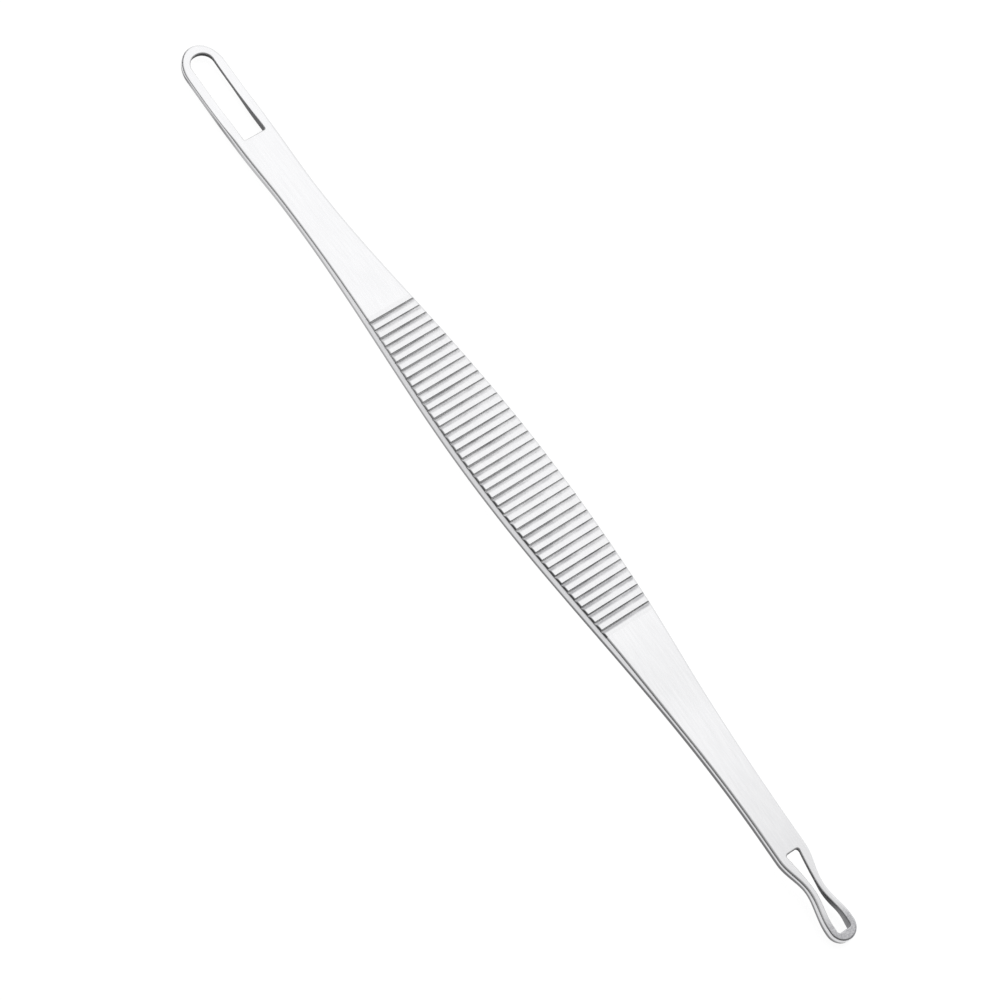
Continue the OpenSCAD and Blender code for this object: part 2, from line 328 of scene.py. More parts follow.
def piece(name, mesh):
    """An object at the origin, whose place is in its mesh."""
    obj = bpy.data.objects.new(name, mesh)
    bpy.context.scene.collection.objects.link(obj)
    return obj


def grid_faces(rows, columns, first=0, closed=True):
    """Faces between neighbouring rows of a grid whose rows run round the steel."""
    faces = []
    for r in range(rows - 1):
        a, b = first + r * columns, first + (r + 1) * columns
        for i in range(columns if closed else columns - 1):
            j = (i + 1) % columns
            faces.append((a + i, a + j, b + j, b + i))
    return faces


# %% [markdown]
# ## The necks
#
# The two necks are plain: a rounded oblong section that widens and thickens towards the
# grip. They are swept, which means that one ring of points is written for any place along
# the bar, and rings are set side by side.


# %% Sweep a stretch of the bar
ACROSS, NECK_RINGS = 10, 60     # steps across a face, and rings along a neck


def ring():
    """The section as rows of (which side in y, and the values of a level)."""
    wide = [1 - 2 * j / ACROSS for j in range(1, ACROSS)]
    top, bottom = OUTER[-1], OUTER[0]
    return ([(1, *v) for v in OUTER]
            + [(k, *top) for k in wide]
            + [(-1, *v) for v in reversed(OUTER)]
            + [(-k, *bottom) for k in wide])


RING = np.array(ring())


def sweep(stations):
    """Points, faces and marks of the bar between the first station and the last."""
    x = np.asarray(stations)[:, None]
    y = RING[:, 0] * (bar_half(x) - RING[:, 1] * softened(x))
    z = under(x) + thickness(x) * RING[:, 2] + RING[:, 3] * softened(x)
    points = np.stack([np.broadcast_to(x, y.shape), y, z], -1).reshape(-1, 3)
    rows, columns = y.shape
    faces = grid_faces(rows, columns)
    last = (rows - 1) * columns
    faces.append(tuple(reversed(range(columns))))
    faces.append(tuple(last + i for i in range(columns)))
    side = np.broadcast_to(RING[:, 4], y.shape)
    low = RING[:, 5] * lower_edge_shade(x, z - under(x))
    return points, faces, {"side": side.reshape(-1), "low": low.reshape(-1)}


def neck(name, start, end):
    """A plain stretch of the bar."""
    points, faces, marks = sweep(np.linspace(start, end, NECK_RINGS))
    zeros = np.zeros(len(points))
    mesh = steel_mesh(name, points, faces, window=zeros, burnt=zeros, dull=zeros, cut=zeros,
                      **marks)
    mesh.transform(STOOD)
    shade(mesh)
    return piece(name, mesh)


big_neck = neck("big_neck_steel", SPLITS[0], SPLITS[1])
small_neck = neck("small_neck_steel", SPLITS[2], SPLITS[3])
print("necks:", len(big_neck.data.polygons), "and", len(small_neck.data.polygons), "faces")

# %% [markdown]
# ## The loops
#
# Each loop is the end of the bar with a window punched through it. A boolean cut would
# leave long thin triangles round the window. Instead the outline and the window's edge are
# written with the same number of points, one beside the other, so that clean strips of
# faces join them over the face and the underside. The big window has round corners at the
# tip and square ones behind. The small one narrows to a waist like an hourglass. A punch
# breaks out a little wider than it went in, so the windows flare towards the underside,
# and the small tip's lower edge is tucked in, where a wheel rounded it for the skin.


# %% Contours of a loop
CORNER, RUN, END_ROW = 12, 56, 8    # points in a corner, along a side, across the end


def window_side(end, half):
    """From the inner end to the tip, as (distance from the tip, half width)."""
    d0, d1, r0, r1 = end["tip_rim"], end["window_end"], end["tip_r"], end["end_r"]
    a = np.linspace(0, np.pi / 2, CORNER + 1)
    inner = d1 - r1 * (1 - np.cos(a))
    run = np.linspace(d1 - r1, d0 + r0, RUN + 1)[1:-1]
    tip = d0 + r0 * (1 - np.cos(a[::-1]))
    d = np.concatenate([inner, run, tip])
    back = np.concatenate([r1 * (1 - np.sin(a)), np.zeros(RUN - 1),
                           r0 * (1 - np.sin(a[::-1]))])
    return np.stack([d, half(d) - back], -1)


def outline_side(end, half):
    """The outline beside it, with as many points."""
    run_start, run_end = end["window_end"] - end["end_r"], end["tip_rim"] + end["tip_r"]
    last = math.acos(max(1 - run_end / end["tip"], 0))
    flat = np.concatenate([np.linspace(end["split"], run_start, CORNER + 1),
                           np.linspace(run_start, run_end, RUN + 1)[1:-1]])
    near = np.clip(1 - flat / end["tip"], 0, 1)
    a = last * (1 - np.arange(CORNER + 1) / (CORNER + 1))
    tip = end["tip"] * (1 - np.cos(a))
    return np.concatenate([
        np.stack([flat, half(flat) * np.sqrt(1 - near ** 2)], -1),
        np.stack([tip, half(tip) * np.sin(a)], -1)])


def contour(side, tip):
    """Both sides, the tip, and the line across the inner end."""
    mirror = side[::-1] * (1, -1)
    d, y = side[0]
    back = np.stack([np.full(END_ROW - 1, d),
                     y * (2 * np.arange(1, END_ROW) / END_ROW - 1)], -1)
    return np.concatenate([side, [[tip, 0]], mirror, back])


def moved_in(points, by):
    """A contour moved inwards along its own normals."""
    step = np.roll(points, -1, 0) - np.roll(points, 1, 0)
    normal = np.stack([-step[:, 1], step[:, 0]], -1)
    normal /= np.linalg.norm(normal, axis=1, keepdims=True)
    return points + np.broadcast_to(by, len(points))[:, None] * normal


def outline_in(points, by, end_gap):
    """The outline moved inwards. Its straight end, where zones meet, moves by the gap."""
    moved = moved_in(points, by)
    end = points[:, 0] == points[0, 0]
    moved[end, 0] = points[0, 0] - end_gap
    moved[end, 1] = points[end, 1] * (points[0, 1] - by[0]) / points[0, 1]
    return moved


# %% Rows of a loop, once round its section
FACE_STRIPS = 6
TUCK_SIDES = 0.4                # share of the tuck along the sides; it is whole at the tip
TUCK_TIP, TUCK_TIP_FADE = 1.6, 1.4
TUCK_END_FADE = 4               # it is gone where the window ends


def tuck_at(end, d):
    """How far the lower edge is tucked in."""
    tip = ease((TUCK_TIP - d) / TUCK_TIP_FADE)
    return (end["tuck"] * (TUCK_SIDES + (1 - TUCK_SIDES) * tip)
            * ease((end["window_end"] - d) / TUCK_END_FADE))


def flare_at(end, d):
    """How much wider the window is at the underside."""
    return end["flare"] * ease((d - end["flare_from"]) / (end["flare_to"] - end["flare_from"]))


def loop_rows(end, outline, window, tip_x, along):
    """Contours with their level, and 1 for those in the window."""
    soft, tuck = softened(tip_x + along * outline[:, 0]), tuck_at(end, outline[:, 0])
    outer = [outline_in(outline, v[0] * soft + tuck * (1 - v[1]),
                        GUARD if v in (OUTER[0], OUTER[-1]) else 0) for v in OUTER]
    soft, flare = softened(tip_x + along * window[:, 0]), flare_at(end, window[:, 0])
    inner = [moved_in(window, -v[0] * soft - flare * (1 - v[1])) for v in INNER]
    between = np.arange(1, FACE_STRIPS) / FACE_STRIPS
    strips = [(outer[-1] + (inner[-1] - outer[-1]) * s, OUTER[-1], 0) for s in between]
    strips_under = [(inner[0] + (outer[0] - inner[0]) * s, OUTER[0], 0) for s in between]
    # up the outside, over the face, down the window, and back below
    return ([(p, v, 0) for p, v in zip(outer, OUTER)] + strips
            + [(p, v, 1) for p, v in reversed(list(zip(inner, INNER)))] + strips_under)


# %% Build a loop from its rows
GRAIN_AND_SHADE_FADE = 2.0     # mm over which the small tip's grain and painted shade fade


def window_shade_at(end, d):
    """How much painted shade a window's wall gets: a share of it everywhere, all of it where
    it is darkest.
    """
    first, last, fade = end["burnt"]
    past = np.maximum(first - d, 0) + np.maximum(d - last, 0)
    return end["shade_everywhere"] + (1 - end["shade_everywhere"]) * np.exp(-(past / fade) ** 2)


def loop(name, end, half, open_half, tip_x, along):
    """A loop at tip_x. along is 1 where the bar runs on towards +x, and -1 where it ends."""
    outline = contour(outline_side(end, half), 0)
    window = contour(window_side(end, open_half), end["tip_rim"])
    rows = loop_rows(end, outline, window, tip_x, along)
    points, marks = [], {word: [] for word in ("side", "low", "window", "burnt", "dull")}
    for p, v, in_window in rows:
        d, x = p[:, 0], tip_x + along * p[:, 0]
        z = height(x, v)
        points.append(np.stack([x, p[:, 1], z], -1))
        marks["side"].append(np.full(len(p), v[3] * (1 - in_window)))
        marks["low"].append(v[4] * (1 - in_window) * lower_edge_shade(x, z - under(x)))
        marks["window"].append(np.full(len(p), v[3] * in_window))
        marks["burnt"].append(window_shade_at(end, d))
        marks["dull"].append(ease((end["dull"] - d) / GRAIN_AND_SHADE_FADE))
    points = np.concatenate(points)
    marks = {word: np.concatenate(values) for word, values in marks.items()}
    n, last = len(outline), (len(rows) - 1) * len(outline)
    faces = grid_faces(len(rows), n)
    faces += [(last + i, last + (i + 1) % n, (i + 1) % n, i) for i in range(n)]
    if along < 0:
        faces = [f[::-1] for f in faces]    # the mirrored end would face inwards
    mesh = steel_mesh(name, points, faces, cut=np.zeros(len(points)), **marks)
    mesh.transform(STOOD)
    shade(mesh)
    print(name, "has", len(mesh.polygons), "faces")
    return piece(name, mesh)


big_loop = loop("big_loop_steel", BIG, big_half, big_open, BIG_TIP, 1)
small_loop = loop("small_loop_steel", SMALL, small_half, small_open, SMALL_TIP, -1)

# %% [markdown]
# ## The grip and its grooves
#
# Forty grooves run right across the face of the grip. On the real tool a milling cutter
# makes them one by one: it leaves a steep wall on the side of the big loop, and a floor
# that climbs back to the face on the other. Grooves that repeat are a job for Geometry
# Nodes. The tree takes the swept blank of the grip and lowers its face, wherever a groove
# passes, to the height that the cutter left. Because every point is only ever lowered, the
# cut also opens through the softened edge, as it does in steel. No two grooves are quite
# as deep, and the cutter leant a little, so they are shallower on the far side.


# %% A helper that adds a node
MATH = "ShaderNodeMath"


def add(tree, kind, inputs=(), **settings):
    """A new node with its settings, and its inputs linked or set, by place or by name.

    An input that is given a node is linked to the first output in use of that node.
    """
    node = tree.nodes.new(kind)
    for key, value in settings.items():
        setattr(node, key, value)
    by_key = inputs if isinstance(inputs, dict) else dict(enumerate(inputs))
    for key, value in by_key.items():
        if isinstance(value, bpy.types.Node):
            value = next(socket for socket in value.outputs if socket.enabled)
        if isinstance(value, bpy.types.NodeSocket):
            tree.links.new(value, node.inputs[key])
        else:
            node.inputs[key].default_value = value
    return node


# %% Which groove a point lies in, and how deep that is
LEAD = 1.5                      # a groove's stretch starts so many wall widths before it
LEAN_FROM, LEAN_TO = -1.0, 2.0  # mm across the bar, where the lean starts and is whole


def groove_at(tree, source, x):
    """The groove's number, how far into it the point lies, and 1 if it is in the row."""
    lead = add(tree, MATH, (source["Wall"], LEAD), operation="MULTIPLY")
    past = add(tree, MATH, (x, source["First"]), operation="SUBTRACT")
    along = add(tree, MATH, (past, lead), operation="ADD")
    pitches = add(tree, MATH, (along, source["Pitch"]), operation="DIVIDE")
    number = add(tree, MATH, (pitches,), operation="FLOOR")
    start = add(tree, MATH, (number, source["Pitch"]), operation="MULTIPLY")
    past = add(tree, MATH, (along, lead), operation="SUBTRACT")
    into = add(tree, MATH, (past, start), operation="SUBTRACT")
    # the number is whole, so halves part the row's own numbers from the rest
    begun = add(tree, MATH, (number, -0.5), operation="GREATER_THAN")
    end = add(tree, MATH, (source["Count"], 0.5), operation="SUBTRACT")
    not_over = add(tree, MATH, (number, end), operation="LESS_THAN")
    return number, into, add(tree, MATH, (begun, not_over), operation="MULTIPLY")


def groove_depth(tree, source, number, y):
    """The depth there. Each groove has its own, and all get shallower to the far side."""
    chance = add(tree, "FunctionNodeRandomValue",
                 {"Min": -1.0, "Max": 1.0, "ID": number, "Seed": source["Seed"]},
                 data_type="FLOAT")
    chance = add(tree, MATH, (chance,), operation="ABSOLUTE")
    far = add(tree, "ShaderNodeMapRange",
              {"Value": y, "From Min": LEAN_FROM, "From Max": LEAN_TO})
    depth = source["Depth"]
    for size, share in (("Uneven", chance), ("Lean", far)):
        loss = add(tree, MATH, (source[size], share), operation="MULTIPLY")
        keep = add(tree, MATH, (1.0, loss), operation="SUBTRACT")
        depth = add(tree, MATH, (depth, keep), operation="MULTIPLY")
    return depth


# %% What the cutter leaves
CUT_AT = 0.02       # mm below the blank at which a point is marked as cut


def cutter_profile(tree, source, into, depth):
    """The steep wall goes down, the floor climbs back, and a groove is the higher of them."""
    wall = add(tree, MATH, (into, source["Wall"]), operation="DIVIDE")
    wall = add(tree, MATH, (wall, depth), operation="MULTIPLY")
    wall = add(tree, MATH, (wall, 0.0), operation="MAXIMUM")
    left = add(tree, MATH, (source["Width"], into), operation="SUBTRACT")
    floor = add(tree, MATH, (source["Width"], source["Wall"]), operation="SUBTRACT")
    left = add(tree, MATH, (left, floor), operation="DIVIDE")
    left = add(tree, MATH, (left, 0.0), operation="MAXIMUM")
    hollow = add(tree, MATH, (left, source["Hollow"]), operation="POWER")
    climb = add(tree, MATH, (depth, hollow), operation="MULTIPLY")
    return add(tree, MATH, (wall, climb), operation="MINIMUM")


def cut_marks(tree, source, into, lowered_by):
    """cut is 1 on the steep wall and the foot, which get the groove walls' painted light and
    shade.
    """
    past = add(tree, MATH, (into, source["Wall"]), operation="SUBTRACT")
    past = add(tree, MATH, (past, source["Softness"]), operation="DIVIDE", use_clamp=True)
    skin = add(tree, MATH, (1.0, past), operation="SUBTRACT")
    below = add(tree, MATH, (lowered_by, CUT_AT), operation="DIVIDE", use_clamp=True)
    cut = add(tree, MATH, (skin, below), operation="MULTIPLY")
    floor = add(tree, MATH, (lowered_by, source["Depth"]), operation="DIVIDE",
                use_clamp=True)
    return {"cut": cut, "floor": floor}


# %% The cross grooves as a node tree
GROOVE_INPUTS = {"NodeSocketGeometry": ("Geometry",), "NodeSocketInt": ("Count", "Seed"),
                 "NodeSocketFloat": ("First", "Pitch", "Width", "Wall", "Depth", "Hollow",
                                     "Softness", "Uneven", "Lean"),
                 "NodeSocketMaterial": ("Finish",)}


def cross_grooves():
    """A tree that lowers the face of a blank wherever a groove passes."""
    tree = bpy.data.node_groups.new("cross grooves", "GeometryNodeTree")
    for kind, names in GROOVE_INPUTS.items():
        for name in names:
            tree.interface.new_socket(name, in_out="INPUT", socket_type=kind)
    tree.interface.new_socket("Geometry", in_out="OUTPUT", socket_type="NodeSocketGeometry")
    source = add(tree, "NodeGroupInput").outputs
    position = add(tree, "GeometryNodeInputPosition")
    x, y, z = add(tree, "ShaderNodeSeparateXYZ", (position,)).outputs

    number, into, in_row = groove_at(tree, source, x)
    depth = groove_depth(tree, source, number, y)
    groove = cutter_profile(tree, source, into, depth)
    groove = add(tree, MATH, (groove, in_row), operation="MULTIPLY")
    face_z = add(tree, "GeometryNodeInputNamedAttribute", {"Name": "face_z"},
                 data_type="FLOAT")
    milled = add(tree, MATH, (face_z, groove), operation="SUBTRACT")
    lowered = add(tree, MATH, (z, milled), operation="MINIMUM")
    lowered_by = add(tree, MATH, (z, lowered), operation="SUBTRACT")

    marked = source["Geometry"]
    for word, value in cut_marks(tree, source, into, lowered_by).items():
        marked = add(tree, "GeometryNodeStoreNamedAttribute",
                     {"Geometry": marked, "Name": word, "Value": value},
                     data_type="FLOAT", domain="POINT")
    down = add(tree, "ShaderNodeCombineXYZ", (x, y, lowered))
    shaped = add(tree, "GeometryNodeSetPosition", {"Geometry": marked, "Position": down})
    real = add(tree, "GeometryNodeRealizeInstances", {"Geometry": shaped})
    dressed = add(tree, "GeometryNodeSetMaterial",
                  {"Geometry": real, "Material": source["Finish"]})
    add(tree, "NodeGroupOutput", (dressed,))
    return tree


print("the cutter repeats", GROOVES["Count"], "grooves at", GROOVES["Pitch"], "mm")

# %% [markdown]
# The blank needs points where a groove turns: at the top of its wall, at its foot and
# where its floor meets the face again. So its rings are set at those places in each pitch,
# close together where the steel turns and far apart on the flat ribs.

# %% Cut the grooves into the grip
WALL_TOP = (-0.03, -0.01, -0.002, 0.005)    # mm from the top of a steep wall
WALL_FOOT = (-0.005, 0, 0.008)              # mm from its foot
FLOOR_SHARES = (0.08, 0.16, 0.25, 0.35, 0.46, 0.58, 0.7, 0.82, 0.92, 1.0)
RIB_SHARES = (0.3, 0.6, 0.85)
END_CLEAR = 0.02                            # mm without rings beside the grip's ends


def grip_stations():
    """Where the rings of the blank are set."""
    width, wall = GROOVES["Width"], GROOVES["Wall"]
    one = np.concatenate([WALL_TOP, wall + np.array(WALL_FOOT),
                          wall + (width - wall) * np.array(FLOOR_SHARES),
                          width + (GROOVES["Pitch"] - width) * np.array(RIB_SHARES)])
    rows = [FIRST_GROOVE + i * GROOVES["Pitch"] + one for i in range(GROOVES["Count"])]
    inside = np.concatenate(rows)
    inside = inside[(inside > SPLITS[1] + END_CLEAR) & (inside < SPLITS[2] - END_CLEAR)]
    return np.unique(np.concatenate([[SPLITS[1]], inside, [SPLITS[2]]]).round(5))


def grooved_grip(name, finish):
    """The swept blank of the grip with its grooves cut."""
    points, faces, marks = sweep(grip_stations())
    zeros = np.zeros(len(points))
    blank = steel_mesh(name, points, faces, window=zeros, burnt=zeros, dull=zeros,
                       face_z=under(points[:, 0]) + thickness(points[:, 0]), **marks)
    obj = piece(name, blank)
    cutter = obj.modifiers.new("cross grooves", "NODES")
    cutter.node_group = cross_grooves()
    values = dict(GROOVES, Finish=finish)
    for item in cutter.node_group.interface.items_tree:
        if item.in_out == "INPUT" and item.name in values:
            cutter[item.identifier] = values[item.name]
    view = bpy.context.evaluated_depsgraph_get()
    mesh = bpy.data.meshes.new_from_object(obj.evaluated_get(view))
    obj.modifiers.remove(cutter)
    obj.data = mesh
    mesh.name = name
    mesh.transform(STOOD)
    shade(mesh)
    print(name, "has", len(mesh.polygons), "faces")
    return obj


# %% [markdown]
# ## Stainless steel, ground and buffed
#
# The bar is martensitic stainless steel, the hardened kind that scissors and tweezers are
# made of. A belt grinds its faces along the length and a soft wheel buffs them after, so
# they mirror the room softly and show faint lines along the bar. The side walls are ground
# only, and carry a band of painted shade at the bottom. A wheel can't reach into a window, so
# its walls keep the dull grey of the punch, with painted shade on them that is nearly black
# where they are darkest. It hardly meets the small tip, which stays grainy and gets painted
# shade. In the grooves the steep walls are painted pale, with painted shade towards the near
# side and the small end of the row, and the floors carry painted shade with some grain.


# %% Colours of the steel
def linear(colour):
    """sRGB hex to linear red, green, blue and alpha."""
    parts = [int(colour[i:i + 2], 16) / 255 for i in (1, 3, 5)]
    return (*[c / 12.92 if c <= 0.04045 else ((c + 0.055) / 1.055) ** 2.4 for c in parts], 1)


BUFFED = linear("#e6e6e7")      # satin steel in soft light
LINES = linear("#d2d2d4")       # the belt's lines in it
EDGE_GROUND = linear("#d8d8da") # side walls, ground but not buffed
EDGE_PAINTED_SHADE = linear("#303033")  # painted shade along the lower edge and at the near ends of the ribs
PUNCHED_AND_SHADED = linear("#8e8e90")     # walls that no wheel reaches, with a share of painted shade
WINDOW_SHADE_COLOUR = linear("#131315")       # painted shade where the window walls are darkest
GRAIN_AND_SHADE_GREY = linear("#a4a4a8")        # the small tip's grain, with painted shade, where the wheel hardly meets it
PALE_WALL_LIGHT = linear("#e6e6e6")      # painted light: groove walls made pale, with less metal
WALL_PAINTED_SHADE = linear("#b8b8b8")       # painted shade on the groove walls
SHADE_AND_GRAIN_GREY = linear("#a4a4a7")  # painted shade and grain on the groove floors, and grain on the faces
print("painted shade on the edges is", [round(c, 4) for c in EDGE_PAINTED_SHADE[:3]], "in linear light")

# %% [markdown]
# The finish is painted in coats, from the plain face up. A coat has a colour, and a share
# from 0, where it is missing, to 1, where it covers. Most shares are an attribute of the
# mesh. Three need more: where the groove walls get painted shade, where painted shade and
# grain show on a floor, and where painted shade lies in the round at the near ends of the
# ribs.


# %% Shares of the coats on the grip
# where the groove walls get painted shade: the near side and the row's small end, and how much
NEAR_SIDE, ROW_END = (0.0025, -0.0025), (0.004, 0.015)  # metres in y, and in x
SHADE_NEAR, SHADE_ROW_END = 0.45, 0.6
BLOT_LEVEL, BLOT_CONTRAST = 0.46, 2.4
SPECK_LEVEL, SPECK_CONTRAST = 0.44, 3.2
FLOOR_RISE, FLOOR_FALL = 9.5, 3.0       # together they peak in the upper part of a floor
FLOOR_SPECK, FLOOR_WALL_SHADE = 0.25, 0.8
# where the painted shade at the near ends of the ribs lies, and how it grows
RIB_END, RIB_SHADE_GROWS = (-0.001, -0.002), (-0.015, 0.002)     # metres in y, and in x
LEAST_RIB_SHADE, RIB_UNCUT = 0.25, 3.0   # share at the big end, and how fast a cut ends it


def wall_shade_share(tree, at):
    """Painted shade on the groove walls: on the near side, towards the small end of the row,
    and in random blots.
    """
    near = add(tree, "ShaderNodeMapRange",
               {"Value": at["y"], "From Min": NEAR_SIDE[0], "From Max": NEAR_SIDE[1]})
    near = add(tree, MATH, (near, SHADE_NEAR), operation="MULTIPLY")
    row_end = add(tree, "ShaderNodeMapRange",
                  {"Value": at["x"], "From Min": ROW_END[0], "From Max": ROW_END[1]})
    row_end = add(tree, MATH, (row_end, SHADE_ROW_END), operation="MULTIPLY")
    places = add(tree, MATH, (near, row_end), operation="ADD")
    blots = add(tree, MATH, (at["blots"], BLOT_LEVEL), operation="SUBTRACT")
    blots = add(tree, MATH, (blots, BLOT_CONTRAST), operation="MULTIPLY")
    return add(tree, MATH, (places, blots), operation="ADD", use_clamp=True)


def speck_share(tree, at):
    """The mill's grain. Only the pale part of the noise counts."""
    speck = add(tree, MATH, (at["grain"], SPECK_LEVEL), operation="SUBTRACT")
    speck = add(tree, MATH, (speck, SPECK_CONTRAST), operation="MULTIPLY")
    return add(tree, MATH, (speck, 0.0), operation="MAXIMUM")


def floor_shade_share(tree, at, speck, wall_shade):
    """Painted shade on the groove floors, with grain in it, strongest in the upper part."""
    rise = add(tree, MATH, (at["floor"], FLOOR_RISE), operation="MULTIPLY")
    fall = add(tree, MATH, (1.0, at["floor"]), operation="SUBTRACT")
    fall = add(tree, MATH, (fall, FLOOR_FALL), operation="POWER")
    climb = add(tree, MATH, (rise, fall), operation="MULTIPLY")
    speck = add(tree, MATH, (speck, FLOOR_SPECK), operation="MULTIPLY")
    wall_shade = add(tree, MATH, (wall_shade, FLOOR_WALL_SHADE), operation="MULTIPLY")
    marks = add(tree, MATH, (speck, wall_shade), operation="ADD")
    return add(tree, MATH, (climb, marks), operation="MULTIPLY", use_clamp=True)


def rib_end_shade_share(tree, at):
    """Painted shade in the round at the near ends of the ribs, more towards the small end."""
    near = add(tree, "ShaderNodeMapRange",
               {"Value": at["y"], "From Min": RIB_END[0], "From Max": RIB_END[1]})
    grows = add(tree, "ShaderNodeMapRange",
                {"Value": at["x"], "From Min": RIB_SHADE_GROWS[0],
                 "From Max": RIB_SHADE_GROWS[1], "To Min": LEAST_RIB_SHADE})
    place = add(tree, MATH, (near, grows), operation="MULTIPLY")
    # side times what it lacks of 1 is a quarter in the middle of the round
    side = add(tree, MATH, (at["side"], 4.0), operation="MULTIPLY")
    face = add(tree, MATH, (1.0, at["side"]), operation="SUBTRACT")
    in_round = add(tree, MATH, (side, face), operation="MULTIPLY")
    cut = add(tree, MATH, (at["floor"], RIB_UNCUT), operation="MULTIPLY")
    uncut = add(tree, MATH, (1.0, cut), operation="SUBTRACT", use_clamp=True)
    part = add(tree, MATH, (in_round, uncut), operation="MULTIPLY")
    return add(tree, MATH, (place, part), operation="MULTIPLY")


# %% What the steel shader reads
MARKS = ("side", "low", "window", "burnt", "dull", "cut", "floor")
# mm along and across the bar, and detail. Belt lines and grain are finer on real steel and
# are drawn as coarse as they need to be to show.
LINE_LENGTH, LINE_DETAIL, NOISE_ROUGHNESS = 4.0, 3.0, 0.6
PATTERNS = {"clouds": (7.0, 2.0, 2.0), "grain": (0.09, 0.13, 1.0), "blots": (0.5, 1.6, 2.0)}


def readings(tree, line_gap):
    """The attributes, the place and the noises by name."""
    at = {word: add(tree, "ShaderNodeAttribute", attribute_name=word).outputs["Fac"]
          for word in MARKS}
    place = add(tree, "ShaderNodeTexCoord").outputs["Object"]
    at["x"], at["y"], _ = add(tree, "ShaderNodeSeparateXYZ", (place,)).outputs
    patterns = dict(PATTERNS, lines=(LINE_LENGTH, line_gap, LINE_DETAIL))
    for word, (size_x, size_y, detail) in patterns.items():
        scaled = add(tree, "ShaderNodeMapping",
                     {"Vector": place, "Scale": (1000 / size_x, 1000 / size_y, 1000 / size_y)})
        at[word] = add(tree, "ShaderNodeTexNoise",
                       {"Vector": scaled, "Scale": 1.0, "Detail": detail,
                        "Roughness": NOISE_ROUGHNESS}).outputs["Fac"]
    return at


# %% The steel shader
LINES_SHOW, SHADE_SHOWS, CUT_SHOWS = 0.5, 0.9, 0.9
TIP_GRAIN_LEVEL, TIP_GRAIN_CONTRAST = 0.3, 2.0
SIDE_POWER, WINDOW_POWER = 4.0, 8.0     # the coats start late in the round of an edge
NOISE_ROUGH = 0.06                      # the noises are 0.5 on average, so two add this much
ROUGHER = {"lines": NOISE_ROUGH, "clouds": NOISE_ROUGH, "cut": 0.15, "window": 0.3}
PALE_WALL_HIDES = 0.75                     # share of the metal that the pale painted groove walls give up
LINE_DEPTH = 4e-7                       # metres


def steel(name, face_rough, line_gap, speckle, rib_end_shade):
    """Ground and buffed steel. line_gap is between its lines in mm.

    speckle is how much the mill's grain shows on the face, and the last how dark the painted
    shade at the near ends of the ribs is.
    """
    material = bpy.data.materials.new(name)
    material.use_nodes = True
    tree = material.node_tree
    tree.nodes.clear()
    at = readings(tree, line_gap)
    wall_shade, speck = wall_shade_share(tree, at), speck_share(tree, at)

    lines = add(tree, MATH, (at["lines"], LINES_SHOW), operation="MULTIPLY")
    grain = add(tree, MATH, (at["grain"], TIP_GRAIN_LEVEL), operation="SUBTRACT")
    grain = add(tree, MATH, (grain, TIP_GRAIN_CONTRAST), operation="MULTIPLY")
    pairs = ((lines, BUFFED, LINES), (grain, LINES, GRAIN_AND_SHADE_GREY), (wall_shade, PALE_WALL_LIGHT, WALL_PAINTED_SHADE),
             (at["burnt"], PUNCHED_AND_SHADED, WINDOW_SHADE_COLOUR))
    colour, tip, groove, punched_and_shaded = [
        add(tree, "ShaderNodeMix", {0: share, 6: first, 7: second}, data_type="RGBA")
        for share, first, second in pairs]

    wall = add(tree, MATH, (at["side"], SIDE_POWER), operation="POWER")
    # painted shade along the lower edge
    low = add(tree, MATH, (at["low"], SHADE_SHOWS), operation="MULTIPLY")
    specks = add(tree, MATH, (speck, speckle), operation="MULTIPLY")
    rib_end_shades = add(tree, MATH, (rib_end_shade_share(tree, at), rib_end_shade), operation="MULTIPLY")
    cut = add(tree, MATH, (at["cut"], CUT_SHOWS), operation="MULTIPLY")
    window = add(tree, MATH, (at["window"], WINDOW_POWER), operation="POWER")
    coats = ((at["dull"], tip), (wall, EDGE_GROUND), (low, EDGE_PAINTED_SHADE),
             (floor_shade_share(tree, at, speck, wall_shade), SHADE_AND_GRAIN_GREY), (specks, SHADE_AND_GRAIN_GREY),
             (rib_end_shades, EDGE_PAINTED_SHADE), (cut, groove), (window, punched_and_shaded))
    for share, coat in coats:
        colour = add(tree, "ShaderNodeMix", {0: share, 6: colour, 7: coat},
                     data_type="RGBA")

    rough = face_rough - NOISE_ROUGH
    for word, more in ROUGHER.items():
        part = add(tree, MATH, (at[word], more), operation="MULTIPLY")
        rough = add(tree, MATH, (rough, part), operation="ADD")
    kept = add(tree, MATH, (1.0, wall_shade), operation="SUBTRACT")
    pale = add(tree, MATH, (at["cut"], kept), operation="MULTIPLY")
    pale = add(tree, MATH, (pale, PALE_WALL_HIDES), operation="MULTIPLY")
    metal = add(tree, MATH, (1.0, pale), operation="SUBTRACT")
    bump = add(tree, "ShaderNodeBump",
               {"Height": at["lines"], "Strength": 1.0, "Distance": LINE_DEPTH})
    shader = add(tree, "ShaderNodeBsdfPrincipled",
                 {"Base Color": colour, "Metallic": metal, "Roughness": rough,
                  "Normal": bump})
    add(tree, "ShaderNodeOutputMaterial", {"Surface": shader})
    return material


polished_steel = steel("buffed_stainless_steel", face_rough=0.26, line_gap=0.16, speckle=0.0,
                       rib_end_shade=0.0)
grooved_steel = steel("milled_stainless_steel", face_rough=0.3, line_gap=0.12, speckle=0.08,
                     rib_end_shade=0.85)
grip = grooved_grip("ribbed_grip_steel", grooved_steel)
for part in (big_loop, big_neck, small_neck, small_loop):
    part.data.materials.append(polished_steel)
print("materials:", [m.name for m in (polished_steel, grooved_steel)])

# %% [markdown]
# ## Hang the pieces on the frame
#
# Nothing moves on this tool, so every zone rides on the one body, and each stands for the
# plain CAD solid of the same zone.

